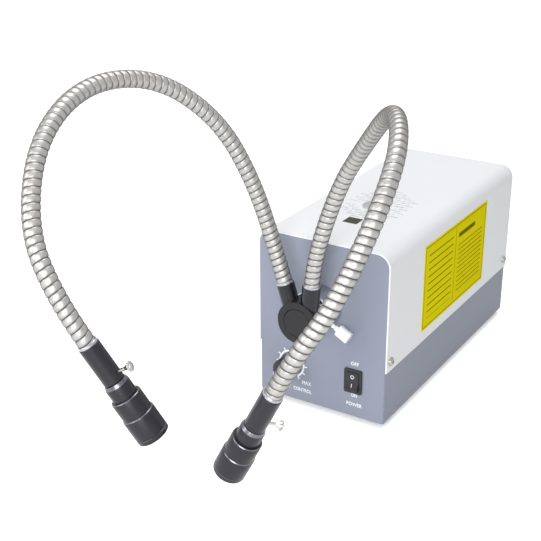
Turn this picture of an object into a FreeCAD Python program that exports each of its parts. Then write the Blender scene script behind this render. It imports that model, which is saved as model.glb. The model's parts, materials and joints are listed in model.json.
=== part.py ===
import FreeCAD, Part
import math
import os
from types import SimpleNamespace

import Sketcher
from FreeCAD import Placement, Rotation, Vector

# Dual gooseneck fiber optic illuminator.
# +Z is up, the front panel faces -Y, and the origin is the middle of the case's
# footprint, on the surface that its rubber feet stand on.  Millimetres.

SIZES = (
    ("case_width", 120.0, "outside width of the cover"),
    ("case_depth", 262.0, "front panel face to rear panel face"),
    ("case_height", 150.0, "case without its feet"),
    ("sheet", 1.2, "steel sheet of the case"),
    ("seam_height", 48.0, "lower edge of the cover above the case's bottom"),
    ("flange_height", 60.0, "tray sides, hidden inside the cover above the seam"),
    ("corner_radius", 12.0, "bend of the cover between top and sides"),
    ("bend_radius", 2.0, "folds of the tray"),
    ("foot_height", 4.0, "rubber feet"),
    ("foot_diameter", 14.0, "rubber feet"),
    ("foot_inset_x", 14.0, "foot centre from the case's side"),
    ("foot_inset_y", 16.0, "foot centre from the case's front or rear"),
    ("slot_width", 1.4, "vent slots in the cover"),
    ("slot_length", 9.0, "vent slots in the cover"),
    ("slot_pitch_x", 11.5, "slot to slot along a row"),
    ("slot_pitch_y", 4.9, "row to row"),
    ("vent_cap_diameter", 21.0, "button in the vent field"),
    ("socket_height", 98.5, "axis of the light socket above the bench"),
    ("collar_diameter", 37.0, "light socket collar"),
    ("collar_length", 20.0, "collar in front of the panel"),
    ("plug_diameter", 25.0, "plug of the light guide"),
    ("plug_reach", 23.0, "plug behind the panel's face"),
    ("running_gap", 0.06, "radial clearance of parts that slide or turn"),
    ("drum_diameter", 35.2, "junction of the two arms"),
    ("drum_front", 40.0, "junction face in front of the panel"),
    ("drum_rear", 24.0, "junction back in front of the panel"),
    ("knob_diameter", 19.6, "dimmer knob"),
    ("knob_height", 16.0, "dimmer knob"),
    ("knob_x", -28.0, "dimmer axis"),
    ("knob_z", 37.5, "dimmer axis"),
    ("pot_shaft_diameter", 6.0, "dimmer shaft"),
    ("switch_x", 30.8, "rocker switch centre"),
    ("switch_z", 37.8, "rocker switch centre"),
    ("bezel_width", 15.9, "rocker switch bezel"),
    ("bezel_height", 21.6, "rocker switch bezel"),
    ("neck_diameter", 12.5, "gooseneck"),
    ("base_sleeve_diameter", 14.6, "sleeve between drum and neck"),
    ("tip_sleeve_diameter", 14.7, "sleeve at the neck's free end"),
    ("tip_sleeve_length", 29.5, "sleeve at the neck's free end"),
    ("neck_entry", 7.0, "neck inside its sleeves"),
    ("ball_diameter", 11.1, "knuckle inside the neck"),
    ("knuckle_gap", 3.2, "room at a knuckle for the neck to bend"),
    ("focus_collar_diameter", 17.5, "rear step of the focusing head"),
    ("focus_collar_length", 12.3, "rear step of the focusing head"),
    ("barrel_diameter", 21.5, "middle step of the focusing head"),
    ("barrel_length", 14.2, "middle step of the focusing head"),
    ("hood_diameter", 23.0, "front step of the focusing head"),
    ("hood_length", 20.0, "front step of the focusing head"),
    ("lens_diameter", 19.0, "focusing lens"),
    ("fan_size", 80.0, "square axial fan"),
    ("fan_depth", 25.0, "square axial fan"),
    ("label_thickness", 0.2, "stickers"),
)

# Centre lines of the two goosenecks as corner points, from the sleeve at the junction
# to the sleeve of the focusing head.  The tube runs straight between rounded corners.
LEFT_ROUTE = (
    (-15.2, -163.0, 126.4), (-24.0, -163.0, 153.6), (-37.0, -172.5, 208.5),
    (-55.0, -191.0, 259.0), (-80.5, -229.5, 295.5), (-97.0, -285.5, 301.5),
    (-94.5, -338.5, 277.0), (-76.5, -373.0, 228.5), (-48.4, -380.7, 187.9),
    (-33.8, -372.1, 158.9),
)
RIGHT_ROUTE = (
    (8.6, -163.0, 129.1), (10.8, -163.0, 154.4), (27.0, -157.5, 211.0),
    (49.5, -165.0, 246.0), (89.0, -197.5, 291.5), (115.0, -241.0, 280.5),
    (118.5, -275.0, 246.5), (105.5, -307.5, 191.5), (87.8, -322.1, 161.1),
    (71.7, -322.1, 129.6),
)
# A neck bends at the middle of these runs of its route, counted from the junction.
KNUCKLE_RUNS = (2, 5, 8)
# Direction in which each lens thumbscrew stands off its sleeve.
LEFT_SCREW = (0.84, 0.24, 0.49)
RIGHT_SCREW = (0.68, 0.64, -0.35)

X, Y, Z = Vector(1, 0, 0), Vector(0, 1, 0), Vector(0, 0, 1)
FORWARD = Vector(0, -1, 0)

doc = FreeCAD.newDocument("fiber_optic_illuminator")
sheet = doc.addObject("Spreadsheet::Sheet", "Sizes")
nodes = []


class Size:
    """A length together with the sheet formula that it comes from."""

    def __init__(self, value, formula=None):
        self.value = float(value)
        self.formula = formula or repr(float(value))

    def joined(self, sign, other, value):
        return Size(value, f"({self.formula} {sign} {size_of(other).formula})")

    def __add__(self, other):
        return self.joined("+", other, self.value + size_of(other).value)

    def __radd__(self, other):
        return size_of(other) + self

    def __sub__(self, other):
        return self.joined("-", other, self.value - size_of(other).value)

    def __rsub__(self, other):
        return size_of(other) - self

    def __mul__(self, factor):
        return self.joined("*", factor, self.value * size_of(factor).value)

    def __rmul__(self, factor):
        return self * factor

    def __truediv__(self, divisor):
        return self.joined("/", divisor, self.value / size_of(divisor).value)

    def __neg__(self):
        return Size(0) - self


def size_of(number):
    return number if isinstance(number, Size) else Size(number)


def fill_sheet():
    named = SimpleNamespace()
    for row, (alias, value, meaning) in enumerate(SIZES, start=1):
        sheet.set(f"A{row}", alias)
        sheet.set(f"B{row}", str(value))
        sheet.setAlias(f"B{row}", alias)
        sheet.set(f"C{row}", meaning)
        setattr(named, alias, Size(value, f"Sizes.{alias}"))
    doc.recompute()
    return named


s = fill_sheet()
FRONT = -s.case_depth / 2
REAR = s.case_depth / 2
FLOOR = s.foot_height + s.sheet
TOP = s.foot_height + s.case_height
INNER = s.case_width / 2 - s.sheet


# ---- plain shapes, each bound to the sheet -------------------------------------------

def bind(thing, what, size):
    size = size_of(size)
    if what.startswith("Placement"):
        setattr(thing.Placement.Base, what[-1], size.value)
    else:
        setattr(thing, what, size.value)
    if "Sizes." in size.formula:
        thing.setExpression(what, size.formula)


def put(thing, at, turn=None):
    """Place a piece: at gives its three coordinates, turn its rotation."""
    start = Vector(*[size_of(c).value for c in at])
    thing.Placement = Placement(start, turn or Rotation())
    for letter, coordinate in zip("xyz", at):
        if "Sizes." in size_of(coordinate).formula:
            thing.setExpression(f"Placement.Base.{letter}", coordinate.formula)
    return thing


def facing(direction, side=None):
    """Rotation that lays local Z along direction and, if given, local X towards side."""
    if side is None:
        return Rotation(Z, direction)
    return Rotation(side, direction.cross(side), direction, "ZXY")


def cylinder(name, radius, height, at=(0, 0, 0), along=Z):
    rod = doc.addObject("Part::Cylinder", name)
    bind(rod, "Radius", radius)
    bind(rod, "Height", height)
    return put(rod, at, facing(along))


def box(name, low, size, turn=None):
    block = doc.addObject("Part::Box", name)
    for what, length in zip(("Length", "Width", "Height"), size):
        bind(block, what, length)
    return put(block, low, turn)


def hexagon(name, across, height, at, along):
    prism = doc.addObject("Part::Prism", name)
    prism.Polygon = 6
    bind(prism, "Circumradius", size_of(across) / math.sqrt(3))
    bind(prism, "Height", height)
    return put(prism, at, facing(along))


def fused(name, *parts):
    whole = doc.addObject("Part::MultiFuse", name)
    whole.Shapes = list(parts)
    return whole


def cut(name, base, *tools):
    whole = doc.addObject("Part::Cut", name)
    whole.Base = base
    whole.Tool = tools[0] if len(tools) == 1 else fused(name + "_tools", *tools)
    return whole


def common(name, *parts):
    whole = doc.addObject("Part::MultiCommon", name)
    whole.Shapes = list(parts)
    return whole


def several(name, parts):
    """Like pieces that share one node as separate solids."""
    group = doc.addObject("Part::Compound", name)
    group.Links = list(parts)
    return group


def rounded(name, base, radius, wanted):
    """Round the edges of base whose middle and direction pass the test."""
    doc.recompute()
    edges = []
    for number, edge in enumerate(base.Shape.Edges, start=1):
        middle = edge.valueAt((edge.FirstParameter + edge.LastParameter) / 2)
        if wanted(middle, edge.tangentAt(edge.FirstParameter)):
            edges.append((number, size_of(radius).value, size_of(radius).value))
    soft = doc.addObject("Part::Fillet", name)
    soft.Base = base
    soft.Edges = edges
    return soft


def sketched(body, name, role, points):
    """A closed outline in one of the body's origin planes, fixed by the sheet."""
    sketch = body.newObject("Sketcher::SketchObject", name)
    plane = next(f for f in body.Origin.OriginFeatures if f.Role == role)
    sketch.AttachmentSupport = [(plane, "")]
    sketch.MapMode = "FlatFace"
    points = [tuple(size_of(c) for c in point) for point in points]
    spots = [Vector(across.value, up.value, 0) for across, up in points]
    for here, there in zip(spots, spots[1:] + spots[:1]):
        sketch.addGeometry(Part.LineSegment(here, there), False)
    for number in range(len(spots)):
        after = (number + 1) % len(spots)
        sketch.addConstraint(Sketcher.Constraint("Coincident", number, 2, after, 1))
    for number, point in enumerate(points):
        for kind, length, axis in zip(("DistanceX", "DistanceY"), point, (-2, -1)):
            if length.value == 0:
                sketch.addConstraint(Sketcher.Constraint("PointOnObject", number, 1, axis))
                continue
            rule = Sketcher.Constraint(kind, -1, 1, number, 1, length.value)
            which = sketch.addConstraint(rule)
            if "Sizes." in length.formula:
                sketch.setExpression(f"Constraints[{which}]", length.formula)
    return sketch


def turned(name, profile, at=(0, 0, 0), turn=None):
    """A lathe piece: profile gives radius and height along its own Z axis."""
    body = doc.addObject("PartDesign::Body", name)
    sketch = sketched(body, name + "_profile", "XZ_Plane", profile)
    lathe = body.newObject("PartDesign::Revolution", name + "_turned")
    lathe.Profile = sketch
    lathe.ReferenceAxis = (sketch, ["V_Axis"])
    lathe.Angle = 360
    return put(body, at, turn)


def padded(name, role, outline, thickness, at=(0, 0, 0), turn=None):
    """A plate or bar: its outline, thickened evenly to both sides of its plane."""
    body = doc.addObject("PartDesign::Body", name)
    pad = body.newObject("PartDesign::Pad", name + "_pad")
    pad.Profile = sketched(body, name + "_outline", role, outline)
    bind(pad, "Length", thickness)
    pad.Midplane = True
    return put(body, at, turn)


def node(thing, name=None):
    """Hand a finished piece over: its label names its file."""
    thing.Label = name or thing.Name
    nodes.append(thing)
    return thing


# ---- case ----------------------------------------------------------------------------

def make_tray():
    wide = 2 * INNER
    low = s.foot_height + s.flange_height
    shell = box("tray_block", (-INNER, FRONT, s.foot_height), (wide, s.case_depth, s.flange_height))
    base_z = s.foot_height.value
    folds = rounded("tray_folds", shell, s.bend_radius, lambda middle, direction: (
        (abs(direction.z) > 0.9 and middle.y < 0)
        or (middle.z < base_z + 0.1 and middle.y < REAR.value - 1)))
    hollow = box("tray_hollow", (s.sheet - INNER, FRONT + s.sheet, FLOOR),
                 (wide - 2 * s.sheet, s.case_depth, s.flange_height))
    panel = box("panel_block", (-INNER, FRONT, s.foot_height),
                (wide, s.sheet, s.case_height - s.sheet))
    top = (TOP - s.sheet).value
    panel_round = rounded("panel_round", panel, s.corner_radius - s.sheet, lambda middle, direction: (
        abs(direction.y) > 0.9 and middle.z > top - 1))
    lower_trim = box("panel_trim", (-INNER - 5, FRONT - 1, s.foot_height - 1),
                     (wide + 10, s.sheet + 2, s.flange_height - s.bend_radius))
    panel_upper = cut("panel_upper", panel_round, lower_trim)
    folded = fused("tray_folded", cut("tray_shell", folds, hollow), panel_upper)
    holes = [
        cylinder("socket_hole", 16, 6, (0, FRONT - 2, s.socket_height), Y),
        cylinder("pot_hole", 3.7, 6, (s.knob_x, FRONT - 2, s.knob_z), Y),
        box("switch_hole", (s.switch_x - 6.6, FRONT - 2, s.switch_z - 9.7), (13.2, 6, 19.4)),
    ]
    for side in (-1, 1):
        for end, along in (("front", FRONT + 7), ("rear", REAR - 7)):
            holes.append(cylinder(f"tray_screw_hole_{end}_{side + 1}", 2, 10,
                                  (side * INNER.value - 5, along, s.foot_height + 56.5), X))
    for x, y in foot_spots():
        holes.append(cylinder("tray_foot_hole", 1.6, 6, (x, y, s.foot_height - 2)))
    node(cut("chassis_tray", folded, *holes))


def foot_spots():
    across = (s.case_width / 2 - s.foot_inset_x)
    along = (s.case_depth / 2 - s.foot_inset_y)
    return [(across * i, along * j) for i in (-1, 1) for j in (-1, 1)]


def make_rear_panel():
    wide = INNER - s.sheet
    plate = box("rear_plate", (-wide, REAR - s.sheet, FLOOR),
                (2 * wide, s.sheet, s.case_height - 2 * s.sheet))
    top = (TOP - s.sheet).value
    soft = rounded("rear_round", plate, s.corner_radius - 2 * s.sheet, lambda middle, direction: (
        abs(direction.y) > 0.9 and middle.z > top - 1))
    tabs = [box(f"rear_tab_{side + 1}", (side * (wide - s.sheet / 2) - s.sheet / 2, REAR - 14, FLOOR + 40),
                (s.sheet, 14, 25)) for side in (-1, 1)]
    holes = [
        cylinder("fan_window", s.fan_size / 2 - 2.5, 6, (0, REAR - 4, s.socket_height), Y),
        box("inlet_hole", (-36.0, REAR - 4, 17), (28, 8, 28)),
    ]
    holes += [cylinder("fan_screw_hole", 2.15, 6, (x, REAR - 4, z), Y) for x, z in fan_corners()]
    holes.append(cylinder("rear_tab_hole", 2, s.case_width, (-s.case_width / 2, REAR - 7, s.foot_height + 56.5), X))
    node(cut("rear_panel", fused("rear_folded", soft, *tabs), *holes))


def make_cover():
    block = box("cover_block", (-s.case_width / 2, FRONT, s.foot_height + s.seam_height),
                (s.case_width, s.case_depth, s.case_height - s.seam_height))
    top = TOP.value
    at_top = lambda middle, direction: abs(direction.y) > 0.9 and middle.z > top - 3
    outer = rounded("cover_outer", block, s.corner_radius, at_top)
    core = box("cover_core", (-INNER, FRONT - 5, s.foot_height + s.seam_height - 5),
               (2 * INNER, s.case_depth + 10, s.case_height - s.seam_height - s.sheet + 5))
    inner = rounded("cover_inner", core, s.corner_radius - s.sheet, at_top)
    tools = [inner, vent_slots(), cylinder("vent_cap_hole", 8, 8, (-2, FRONT + 94, TOP - 5))]
    for side in (-1, 1):
        for end, along in (("front", FRONT + 7), ("rear", REAR - 7)):
            tools.append(cylinder(f"cover_screw_hole_{end}_{side + 1}", 2, 10,
                                  (side * INNER.value - 5, along, s.foot_height + 56.5), X))
    node(cut("top_cover", outer, *tools))


def vent_slots():
    """Short slots in staggered rows over an oval field, clear of the button."""
    slots = []
    middle = (FRONT + 98).value
    length, width = s.slot_length.value, s.slot_width.value
    for row in range(-8, 9):
        y = row * s.slot_pitch_y.value
        shift = 0.5 * (row % 2)
        for place in range(-4, 5):
            x = (place + shift) * s.slot_pitch_x.value
            reach = abs(x) + length / 2
            if (reach / 33) ** 2 + (y / 40) ** 2 > 1:
                continue
            if math.hypot(max(abs(x + 2) - length / 2, 0), y + 4) < 13:
                continue
            slots.append(Part.makeBox(length, width, 10,
                                      Vector(x - length / 2, middle + y - width / 2, TOP.value - 5)))
    field = doc.addObject("Part::Feature", "vent_slots")
    field.Shape = Part.makeCompound(slots)
    return field


def pan_screw(name, head_radius, shank_radius, length, at, along):
    """A pan head screw: at is the underside of its head, along the way its head faces."""
    profile = [(0, -length), (shank_radius, -length), (shank_radius, 0), (head_radius, 0),
               (head_radius, 1.2), (head_radius - 1.2, 2.3), (0, 2.3)]
    return turned(name, profile, at, facing(along))


def make_case_fasteners():
    screws = []
    for side in (-1, 1):
        for end, along in (("front", FRONT + 7), ("rear", REAR - 7)):
            screws.append(pan_screw(f"cover_screw_{end}_{side + 1}", 3.6, 1.95, 6,
                                    (side * s.case_width / 2, along, s.foot_height + 56.5), X * side))
    node(several("cover_screws", screws))
    feet, foot_screws = [], []
    for number, (x, y) in enumerate(foot_spots()):
        rim = s.foot_diameter / 2
        feet.append(turned(f"foot_{number}", [
            (3.7, 0), (rim - 1, 0), (rim, s.foot_height), (1.7, s.foot_height), (1.7, 2.2), (3.7, 2.2)],
            (x, y, 0)))
        foot_screws.append(turned(f"foot_screw_{number}", [
            (0, 0.6), (3.1, 0.6), (3.1, 2.2), (1.5, 2.2), (1.5, 8), (0, 8)], (x, y, 0)))
    node(several("rubber_feet", feet))
    node(several("foot_screws", foot_screws))
    cap = s.vent_cap_diameter / 2
    node(turned("vent_cap", [
        (0, -3), (7.9, -3), (7.9, 0), (cap, 0), (cap, 0.8), (cap - 1.2, 1.6), (0, 1.6)],
        (-2, FRONT + 94, TOP)))


def make_labels():
    """Two plain stickers, one on the cover's right side and a small one on its top."""
    node(box("side_label", (s.case_width / 2, FRONT + 64, 62), (s.label_thickness, 134, 77.4)))
    node(box("top_label", (-8, FRONT + 47, TOP), (13, 12.5, s.label_thickness)))


# ---- light socket, switch and dimmer on the front panel --------------------------------

def make_socket():
    axis = (0, FRONT, s.socket_height)
    bore = s.plug_diameter / 2 + s.running_gap
    rim = s.collar_diameter / 2
    collar = turned("collar_turned_part", [
        (bore, -s.collar_length), (rim - 1, -s.collar_length), (rim, 1 - s.collar_length),
        (rim, 0), (15.9, 0), (15.9, 10), (bore, 10)], axis, facing(Y))
    screw_way = Vector(math.cos(math.radians(28)), 0, -math.sin(math.radians(28)))
    at = (0, FRONT - 12, s.socket_height)
    threaded = cylinder("collar_thread", 2 + s.running_gap, 40, at, screw_way)
    node(cut("socket_collar", collar, threaded))
    node(cut("socket_nut",
             hexagon("nut_blank", 38, 4, (0, FRONT + s.sheet, s.socket_height), Y),
             cylinder("nut_bore", 16, 10, (0, FRONT - 2, s.socket_height), Y)))
    node(turned("socket_thumbscrew", [
        (0, 12.8), (2, 12.8), (2, 19.4), (1.6, 20), (1.6, 21.4), (2.3, 22.6), (2.3, 24.8), (4.7, 24.8),
        (5, 25.1), (5, 36), (4.7, 36.3), (0, 36.3)],
        at, facing(screw_way)))


def make_dimmer():
    at = (s.knob_x, FRONT, s.knob_z)
    shaft = s.pot_shaft_diameter / 2
    rim = s.knob_diameter / 2
    node(turned("potentiometer", [
        (shaft + s.running_gap, -7), (3.5, -7), (3.5, s.sheet), (12, s.sheet), (12, 10), (10, 12), (4, 12),
        (4, 8), (shaft + s.running_gap, 8)], at, facing(Y)))
    node(cut("pot_nut", hexagon("pot_nut_blank", 10, 2.4, (s.knob_x, FRONT - 2.4, s.knob_z), Y),
             cylinder("pot_nut_bore", 3.5, 10, (s.knob_x, FRONT - 5, s.knob_z), Y)))
    node(cylinder("pot_shaft", shaft, 21, (s.knob_x, FRONT - 13, s.knob_z), Y))
    node(turned("dimmer_knob", [
        (0, -13), (shaft, -13), (shaft, -8), (7.2, -8), (7.2, -0.8), (rim, -0.8),
        (rim - 0.6, -s.knob_height), (rim - 1.6, -0.8 - s.knob_height), (0, -0.8 - s.knob_height)],
        at, facing(Y)))


def make_switch():
    wide, high = s.bezel_width, s.bezel_height
    x, z = s.switch_x, s.switch_z
    bezel = box("switch_bezel", (x - wide / 2, FRONT - 1.8, z - high / 2), (wide, 1.8, high))
    soft = rounded("switch_bezel_round", bezel, 1.2, lambda middle, direction: abs(direction.y) > 0.9)
    can = box("switch_can", (x - 6.5, FRONT - 0.5, z - 9.6), (13, 19.5, 19.2))
    blades = [box(f"switch_blade_{k}", (x - 2.4, FRONT + 18, z - 7 + 6.2 * k), (4.8, 8, 0.8)) for k in range(3)]
    window = box("switch_window", (x - 5.6, FRONT - 3, z - 8.7), (11.2, 15, 17.4))
    node(cut("switch_housing", fused("switch_moulding", soft, can, *blades), window))
    paddle = padded("rocker_paddle", "YZ_Plane", [
        (-4.2, 9), (-2.4, 0), (-4.2, -9), (2, -9), (6, -3), (6, 3), (2, 9)], 10.9)
    drum = cylinder("rocker_sweep", 8.45, 20, (-10, 0, 0), X)
    rocker = common("switch_rocker", paddle, drum)
    pressed = Rotation(X, -10)
    node(put(rocker, (x, FRONT, z), pressed))


# ---- inside the case -------------------------------------------------------------------

def make_lamp():
    h = s.socket_height
    base = box("bracket_base", (-20, FRONT + 29, FLOOR), (40, 91, s.sheet))
    upright = [
        box("filter_upright", (-27, FRONT + 29, FLOOR), (54, s.sheet, 120)),
        box("reflector_upright", (-30, FRONT + 70, FLOOR), (60, s.sheet, 122)),
        box("lamp_upright", (-20, FRONT + 119, FLOOR), (40, s.sheet, 105)),
    ]
    holes = [
        cylinder("filter_window", 17, 6, (0, FRONT + 26, h), Y),
        cylinder("reflector_window", 23, 6, (0, FRONT + 67, h), Y),
    ]
    node(cut("lamp_bracket", fused("bracket_folded", base, *upright), *holes))
    node(cylinder("heat_filter", 19.5, 3, (0, FRONT + 26, h), Y))
    node(turned("lamp_reflector", [
        (24, 0), (25, 0), (25, 2), (22.6, 2), (20, 12), (15, 22), (9, 31), (9, 40), (6.5, 40), (6.5, 31),
        (13.5, 21), (18.5, 11), (21, 1.5)], (0, FRONT + 68, h), facing(Y)))
    bulb = turned("lamp_bulb", [
        (0, 10), (3, 10.6), (5, 13), (5, 29), (4, 32), (4, 39), (0, 39)], (0, FRONT + 68, h), facing(Y))
    pins = [cylinder(f"lamp_pin_{k + 1}", 0.5, 9, (2.5 * k, FRONT + 106, h), Y) for k in (-1, 1)]
    node(fused("lamp_capsule", bulb, *pins))
    ceramic = box("socket_block", (-10, FRONT + 109, h - 6), (20, 10, 12))
    ways = [cylinder(f"lamp_pin_way_{k + 1}", 0.6, 8, (2.5 * k, FRONT + 108, h), Y) for k in (-1, 1)]
    node(cut("lamp_socket", ceramic, *ways))


def make_transformer():
    x, y, z = -24, 60, FLOOR
    core = box("core_block", (x - 30, y - 18, z), (60, 36, 50))
    windows = [box(f"core_window_{k + 1}", (x + 15 * k - 5, y - 20, z + 10), (10, 40, 30)) for k in (-1, 1)]
    node(cut("transformer_core", core, *windows))
    coil = box("coil_block", (x - 19.8, y - 27, z + 10.2), (39.6, 54, 29.6))
    soft = rounded("coil_round", coil, 5, lambda middle, direction: abs(direction.z) > 0.9)
    leg = box("coil_leg_way", (x - 10.2, y - 18.2, z + 5), (20.4, 36.4, 40))
    node(cut("transformer_winding", soft, leg))


def make_electronics():
    board_x = -52
    board = box("board_plate", (board_x, -98, 14), (1.6, 78, 60))
    fuses = [
        cylinder("capacitor", 6, 16, (board_x + 1.6, -86, 60), X),
        box("relay", (board_x + 1.6, -76, 22), (12, 18, 14)),
        box("terminal_block", (board_x + 1.6, -50, 60), (10, 26, 9)),
    ]
    node(fused("control_board", board, *fuses))
    posts = [cylinder("standoff", 2.5, board_x + INNER - s.sheet, (s.sheet - INNER, y, z), X)
             for y in (-94, -24) for z in (18, 70)]
    node(several("board_standoffs", posts))
    back = box("sink_back", (board_x + 1.6, -52, 20), (3, 30, 34))
    fins = [box(f"sink_fin_{k}", (board_x + 4.6, -52 + 6.9 * k, 20), (13, 2.4, 34)) for k in range(5)]
    node(fused("heat_sink", back, *fins))


def fan_corners():
    reach = 35.75
    return [(reach * i, s.socket_height + reach * j) for i in (-1, 1) for j in (-1, 1)]


def make_fan():
    h = s.socket_height
    half = s.fan_size / 2
    start = REAR - s.sheet - s.fan_depth
    frame = box("fan_block", (-half, start, h - half), (s.fan_size, s.fan_depth, s.fan_size))
    soft = rounded("fan_block_round", frame, 4, lambda middle, direction: abs(direction.y) > 0.9)
    waist = cut("fan_waist_ring", cylinder("fan_waist_out", 60, s.fan_depth - 8, (0, start + 4, h), Y),
                cylinder("fan_waist_in", half + 0.01, s.fan_depth, (0, start, h), Y))
    bore = cylinder("fan_bore", half - 2, s.fan_depth + 4, (0, start - 2, h), Y)
    holes = [cylinder("fan_frame_hole", 2.15, s.fan_depth + 4, (x, start - 2, z), Y) for x, z in fan_corners()]
    ring = cut("fan_housing", soft, waist, bore, *holes)
    hub = cylinder("fan_motor", 15, 4, (0, start, h), Y)
    struts = [box(f"fan_strut_{k}", (-1.5, 0, 0), (3, 3, half - 1),
                  Rotation(Y, 45 + 90 * k)) for k in range(4)]
    for strut in struts:
        put(strut, (0, start, h), strut.Placement.Rotation * Rotation())
        strut.Placement.Base = Vector(0, start.value, h.value)
    struts = [common(f"fan_strut_end_{k}", strut, cylinder(f"fan_strut_room_{k}", half - 1, 5, (0, start - 1, h), Y))
              for k, strut in enumerate(struts)]
    pin = cylinder("fan_pin", 1.5, 14, (0, start + 2, h), Y)
    node(fused("fan_frame", ring, hub, pin, *struts))
    make_rotor(start, h, half)
    make_guard(h, half)


def make_rotor(start, h, half):
    cup = turned("rotor_hub", [
        (1.5 + s.running_gap, 6), (16, 6), (16, 20), (14, 21), (1.5 + s.running_gap, 21)],
        (0, start, h), facing(Y))
    blades = []
    for k in range(7):
        blade = box(f"rotor_blade_{k}", (14, -1, -9), (22, 2, 18))
        turn = Rotation(Y, 360 / 7 * k) * Rotation(X, 38)
        blade.Placement = Placement(Vector(0, start.value + 13.5, h.value), turn) * Placement(
            Vector(14, -1, -9), Rotation())
        blades.append(blade)
    room = cylinder("rotor_room", half - 3.2, 15, (0, start + 6, h), Y)
    node(fused("fan_rotor", cup, common("rotor_blades", fused("rotor_blade_set", *blades), room)))


def make_guard(h, half):
    """Wire guard outside the rear panel: rings, two crossing wires and four eyes."""
    rings = []
    for radius in (10, 18, 26, 34):
        rings.append(turned(f"guard_ring_{radius}", [
            (radius - 0.8, 0.8), (radius + 0.8, 0.8), (radius + 0.8, 2.4), (radius - 0.8, 2.4)],
            (0, REAR, h), facing(Y)))
    reach = 35.75 * math.sqrt(2)
    wires = []
    for k in (0, 1):
        wire = cylinder(f"guard_wire_{k}", 0.8, 2 * reach, (0, 0, 0))
        turn = Rotation(Y, 45 + 90 * k)
        wire.Placement = Placement(Vector(0, (REAR + 0.9).value, h.value), turn) * Placement(
            Vector(0, 0, -reach), Rotation())
        wires.append(wire)
    eyes = [cylinder("guard_eye", 4, 1.8, (x, REAR, z), Y) for x, z in fan_corners()]
    holes = [cylinder("guard_eye_hole", 2.15, 8, (x, REAR - 2, z), Y) for x, z in fan_corners()]
    node(cut("fan_guard", fused("guard_wires", *rings, *wires, *eyes), *holes))
    screws = [pan_screw("fan_screw", 3.6, 2.0, 12, (x, REAR + 1.8, z), Y) for x, z in fan_corners()]
    node(several("fan_screws", screws))


def make_inlet():
    """Mains inlet with a fuse drawer under the socket; no cord is fitted."""
    x, z = -22.0, 31.0
    flange = box("inlet_flange", (x - 16, REAR, z - 16), (32, 2.5, 32))
    soft = rounded("inlet_flange_round", flange, 2.5, lambda middle, direction: abs(direction.y) > 0.9)
    can = box("inlet_can", (x - 13.8, REAR - 20, z - 13.8), (27.6, 21, 27.6))
    mouth = box("inlet_mouth", (x - 12.2, REAR - 14.5, z - 5), (24.4, 20, 16.8))
    slot = box("drawer_way", (x - 11.1, REAR - 16.1, z - 13.1), (22.2, 30, 6.7))
    node(cut("inlet_housing", fused("inlet_moulding", soft, can), mouth, slot))
    pins = [box(f"inlet_pin_{k}", (x + across - 1, REAR - 14.5, z + up - 2), (2, 13, 4))
            for k, (across, up) in enumerate(((-7, 1.5), (0, 5.5), (7, 1.5)))]
    node(several("inlet_pins", pins))
    tray = box("drawer_tray", (x - 11, REAR - 16, z - 13), (22, 18.5, 6.5))
    well = cylinder("drawer_well", 2.6, 20.6, (x - 10.3, REAR - 8, z - 9.3), X)
    well_top = box("drawer_well_top", (x - 10.3, REAR - 10.6, z - 9.3), (20.6, 5.2, 4))
    handle = box("drawer_handle", (x - 11, REAR + 2.5, z - 13), (22, 1.2, 6.5))
    fuse = cylinder("drawer_fuse", 2.6, 20.6, (x - 10.3, REAR - 8, z - 9.3), X)
    node(fused("fuse_drawer", cut("drawer_body", tray, well, well_top), handle, fuse))


# ---- light guide: plug, junction and sleeves ------------------------------------------

def make_junction():
    h = s.socket_height
    plug = s.plug_diameter / 2
    rim = s.drum_diameter / 2
    back, face = FRONT - s.drum_rear, FRONT - s.drum_front
    node(turned("guide_plug", [
        (0, s.plug_reach), (plug - 0.8, s.plug_reach), (plug, s.plug_reach - 0.8), (plug, -20.5),
        (plug + 2, -20.5), (plug + 2, -s.drum_rear), (8, -s.drum_rear), (8, -s.drum_rear - 3),
        (0, -s.drum_rear - 3)], (0, FRONT, h), facing(Y)))
    drum = turned("junction_cup", [
        (8 + s.running_gap, 0), (rim - 0.8, 0), (rim, 0.8), (rim, 14), (13.5, 14), (13.5, 3),
        (8 + s.running_gap, 3)], (0, back, h), facing(FORWARD))
    ways = [cylinder(f"{side}_sleeve_way", 5.6, 20, start, Vector(*way))
            for side, start, way in sleeve_lines()]
    node(cut("junction_housing", drum, *ways))
    node(turned("junction_cap", [
        (0, 14), (rim, 14), (rim, 15.6), (rim - 0.4, 16), (12.3, 16), (11.8, 15.5), (11.3, 16), (0, 16)],
        (0, back, h), facing(FORWARD)))
    for side, start, way in sleeve_lines():
        make_base_sleeve(side, start, Vector(*way))


def sleeve_lines():
    """Foot of each sleeve inside the drum, and the way that the sleeve points."""
    lines = []
    for side, route in (("left", LEFT_ROUTE), ("right", RIGHT_ROUTE)):
        top, after = Vector(*route[0]), Vector(*route[1])
        way = (after - top).normalize()
        lines.append((side, tuple(top - way * 22), tuple(way)))
    return lines


def make_base_sleeve(side, start, way):
    """Sleeve that stands saddled on the drum, with its stub inside and the neck's bore."""
    rim = s.base_sleeve_diameter / 2
    barrel = cylinder(f"{side}_sleeve_barrel", rim, 22, start, way)
    saddle = cylinder(f"{side}_sleeve_saddle", s.drum_diameter / 2, 40, (0, FRONT - 60, s.socket_height), Y)
    stub = cylinder(f"{side}_sleeve_stub", 5.6, 12, start, way)
    top = Vector(*start) + way * (22 - s.neck_entry.value)
    bore = cylinder(f"{side}_sleeve_bore", s.neck_diameter / 2, 12, tuple(top), way)
    shell = cut(f"{side}_sleeve_saddled", barrel, saddle)
    node(cut(f"{side}_base_ferrule", fused(f"{side}_sleeve_whole", shell, stub), bore))


# ---- goosenecks -------------------------------------------------------------------------

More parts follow.
